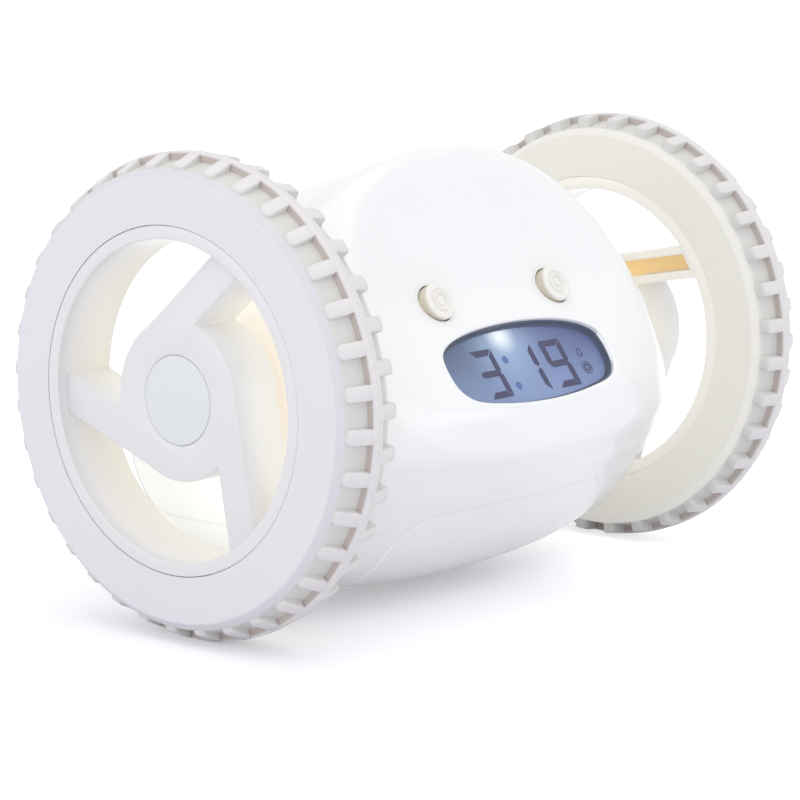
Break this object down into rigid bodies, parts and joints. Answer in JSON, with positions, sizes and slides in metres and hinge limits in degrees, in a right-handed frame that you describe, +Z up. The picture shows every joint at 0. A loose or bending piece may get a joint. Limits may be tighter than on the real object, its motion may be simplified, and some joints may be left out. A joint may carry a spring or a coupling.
{
  "type": "rolling_alarm_clock",
  "caption": "White egg-bodied alarm clock slung between two large rubber-tyred driven wheels, with a sloping face, crowned display window and push buttons",
  "frame": {"origin": "on the floor under the middle of the axle line", "axes": "+X along the axle from the left wheel to the right wheel, -Y the way the face looks, +Z up"},
  "size_m": [0.1354, 0.088, 0.088],
  "materials": {
    "shell": "moulded, high gloss white",
    "wheel_plastic": "moulded, satin white",
    "tyre": "soft white rubber, matt",
    "button_plastic": "moulded cream",
    "window": "clear window, polished",
    "display_glass": "liquid-crystal cell",
    "light_guide": "diffusing",
    "black_plastic": "moulded black",
    "contact_rubber": "layered conductive rubber",
    "board": "solder mask",
    "cell_sleeve": "plain sleeve",
    "contact_metal": "nickel plated",
    "steel": "bright drawn",
    "brass": "turned",
    "gear_plastic": "natural acetal",
    "wire": "insulation"
  },
  "bodies": {
    "clock": {"upper_shell": "shell", "lower_shell": "shell", "battery_door": "shell", "gearbox_base_left": "wheel_plastic", "gearbox_base_right": "wheel_plastic", "gearbox_cover_left": "wheel_plastic", "gearbox_cover_right": "wheel_plastic", "display_lens": "window", "lcd_panel": "display_glass", "light_guide": "light_guide", "display_frame": "black_plastic", "tact_switch_left": "black_plastic", "tact_switch_right": "black_plastic", "speaker": "black_plastic", "battery_tray": "black_plastic", "mode_switch_body": "black_plastic", "zebra_strip": "contact_rubber", "main_board": "board", "battery_cell_1": "cell_sleeve", "battery_cell_2": "cell_sleeve", "battery_cell_3": "cell_sleeve", "battery_cell_4": "cell_sleeve", "contact_link_front": "contact_metal", "contact_link_back": "contact_metal", "contact_plus": "contact_metal", "contact_link_middle": "contact_metal", "contact_minus": "contact_metal", "idler_pin_left": "steel", "idler_pin_right": "steel", "motor_left": "steel", "motor_right": "steel", "case_screw_left": "steel", "case_screw_right": "steel", "gearbox_screw_left_1": "steel", "gearbox_screw_left_2": "steel", "gearbox_screw_right_1": "steel", "gearbox_screw_right_2": "steel", "axle_bush_left": "brass", "axle_bush_right": "brass", "wiring_harness": "wire"},
    "wheel_left_set": {"wheel_left": "wheel_plastic", "tyre_left": "tyre", "hub_cap_left": "wheel_plastic", "axle_shaft_left": "steel", "final_gear_left": "gear_plastic"},
    "wheel_right_set": {"wheel_right": "wheel_plastic", "tyre_right": "tyre", "hub_cap_right": "wheel_plastic", "axle_shaft_right": "steel", "final_gear_right": "gear_plastic"},
    "idler_left": {"idler_gear_left": "gear_plastic"},
    "idler_right": {"idler_gear_right": "gear_plastic"},
    "rotor_left": {"motor_shaft_left": "steel", "pinion_left": "brass"},
    "rotor_right": {"motor_shaft_right": "steel", "pinion_right": "brass"},
    "button_left": {"left_button": "button_plastic"},
    "button_right": {"right_button": "button_plastic"},
    "mode_switch": {"mode_switch_knob": "black_plastic"}
  },
  "joints": [
    {"name": "wheel_left_spin", "type": "hinge", "parent": "clock", "child": "wheel_left_set", "pos_m": [-0.0611, 0, 0.044], "axis": [1, 0, 0], "continuous": true},
    {"name": "idler_left_spin", "type": "hinge", "parent": "clock", "child": "idler_left", "pos_m": [-0.04, 0.01355, 0.03905], "axis": [1, 0, 0], "continuous": true},
    {"name": "rotor_left_spin", "type": "hinge", "parent": "clock", "child": "rotor_left", "pos_m": [-0.036, 0.0061, 0.02815], "axis": [1, 0, 0], "continuous": true},
    {"name": "wheel_right_spin", "type": "hinge", "parent": "clock", "child": "wheel_right_set", "pos_m": [0.0611, 0, 0.044], "axis": [1, 0, 0], "continuous": true},
    {"name": "idler_right_spin", "type": "hinge", "parent": "clock", "child": "idler_right", "pos_m": [0.04, 0.01355, 0.03905], "axis": [1, 0, 0], "continuous": true},
    {"name": "rotor_right_spin", "type": "hinge", "parent": "clock", "child": "rotor_right", "pos_m": [0.036, 0.0061, 0.02815], "axis": [1, 0, 0], "continuous": true},
    {"name": "button_left_press", "type": "slide", "parent": "clock", "child": "button_left", "axis": [0, 0.8829, -0.4695], "range_m": [0, 0.001], "stiffness_N_per_m": 250},
    {"name": "button_right_press", "type": "slide", "parent": "clock", "child": "button_right", "axis": [0, 0.8829, -0.4695], "range_m": [0, 0.001], "stiffness_N_per_m": 250},
    {"name": "mode_switch_slide", "type": "slide", "parent": "clock", "child": "mode_switch", "axis": [1, 0, 0], "range_m": [0, 0.003]}
  ],
  "couplings": [
    {"joint": "idler_left_spin", "follows": "wheel_left_spin", "ratio": -3.8},
    {"joint": "rotor_left_spin", "follows": "wheel_left_spin", "ratio": 12.92},
    {"joint": "idler_right_spin", "follows": "wheel_right_spin", "ratio": -3.8},
    {"joint": "rotor_right_spin", "follows": "wheel_right_spin", "ratio": 12.92}
  ]
}
